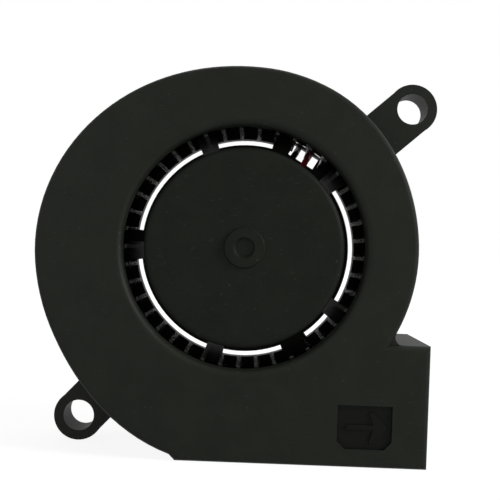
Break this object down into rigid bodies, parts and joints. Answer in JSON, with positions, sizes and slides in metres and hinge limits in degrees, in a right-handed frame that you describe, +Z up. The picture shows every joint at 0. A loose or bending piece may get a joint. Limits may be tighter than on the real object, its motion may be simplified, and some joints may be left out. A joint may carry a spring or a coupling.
{
  "type": "dc blower fan",
  "caption": "Small centrifugal DC blower: snail-shell casing in two mouldings with screw ears, forward-curved impeller on an outer-rotor motor, two-core lead with connector.",
  "frame": {"origin": "on the flat outer wall of the outlet that the blower stands on, under the middle of the box round casing and ears", "axes": "+X out of the outlet, -Y out of the inlet face, +Z up from the outer wall of the outlet; the rotor axis lies along Y"},
  "size_m": [0.0526, 0.0321, 0.051],
  "materials": {
    "casing_plastic": "fine matte moulded black, faint green",
    "impeller_plastic": "moulded black, a little smoother",
    "yoke_steel": "plain drawn steel",
    "ferrite": "bonded ferrite, dull",
    "shaft_steel": "ground and polished",
    "bush_brass": "turned",
    "ring_plastic": "natural, smooth",
    "bearing_bronze": "sintered, oily",
    "pad_plastic": "natural, smooth",
    "lamination_steel": "stamped sheets, dull edges",
    "insulator_plastic": "natural, smooth",
    "enamelled_copper": "enamelled wire, glossy",
    "pin_tin": "tinned",
    "board_lacquer": "green solder mask",
    "chip_resin": "moulded resin",
    "capacitor_body": "fired",
    "black_insulation": "smooth extruded",
    "red_insulation": "smooth extruded",
    "tie_plastic": "smooth",
    "connector_plastic": "moulded, natural white",
    "contact_tin": "stamped"
  },
  "bodies": {
    "casing": {"housing": "casing_plastic", "cover": "casing_plastic", "sleeve_bearing": "bearing_bronze", "thrust_pad": "pad_plastic", "oil_ring": "ring_plastic", "stator_core": "lamination_steel", "front_insulator": "insulator_plastic", "back_insulator": "insulator_plastic", "stator_windings": "enamelled_copper", "winding_pins": "pin_tin", "driver_board": "board_lacquer", "hall_sensor": "chip_resin", "driver_chip": "chip_resin", "board_capacitors": "capacitor_body", "black_lead": "black_insulation", "red_lead": "red_insulation", "black_lead_coil": "black_insulation", "red_lead_coil": "red_insulation", "lead_tie": "tie_plastic", "lead_connector": "connector_plastic", "connector_contacts": "contact_tin"},
    "rotor": {"impeller": "impeller_plastic", "rotor_yoke": "yoke_steel", "rotor_magnet": "ferrite", "shaft": "shaft_steel", "shaft_bush": "bush_brass", "retaining_ring": "ring_plastic"}
  },
  "joints": [
    {"name": "rotor_spin", "type": "hinge", "parent": "casing", "child": "rotor", "pos_m": [0.00053, 0, 0.02756], "axis": [0, -1, 0], "continuous": true}
  ]
}
